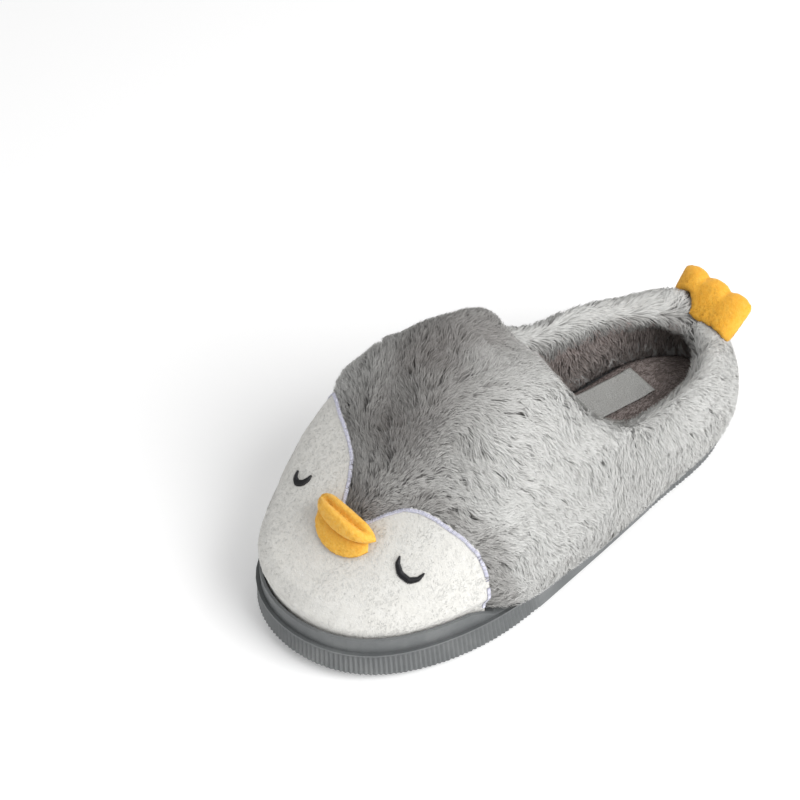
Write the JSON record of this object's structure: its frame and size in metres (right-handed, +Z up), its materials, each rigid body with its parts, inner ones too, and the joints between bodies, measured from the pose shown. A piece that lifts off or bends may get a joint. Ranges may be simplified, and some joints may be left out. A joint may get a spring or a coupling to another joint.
{
  "type": "house slipper",
  "caption": "Left house slipper: furry closed-toe mule with a rolled collar, a sleeping bird's face on the toe, a stuffed tail and a moulded ribbed sole.",
  "frame": {"origin": "bottom centre of the whole slipper's box, on the floor", "axes": "+Z up, +Y from heel to toe, +X to the wearer's right, which is this left shoe's medial side"},
  "size_m": [0.126, 0.2646, 0.1088],
  "materials": {
    "outsole": "dark grey moulded foam rubber, satin",
    "insole": "brown-grey short plush footbed",
    "upper": "grey long-pile faux fur with light tips",
    "face_panel": "off-white short plush, satin-stitched edge",
    "beak_upper": "yellow-orange short plush",
    "beak_lower": "orange short plush",
    "tail_tab": "yellow-orange short plush",
    "woven_label": "light grey woven ribbon, blank"
  },
  "bodies": {
    "root": {"outsole": "outsole", "insole": "insole", "upper": "upper", "face_panel": "face_panel", "beak_upper": "beak_upper", "beak_lower": "beak_lower", "tail_tab": "tail_tab", "woven_label": "woven_label"}
  },
  "joints": []
}
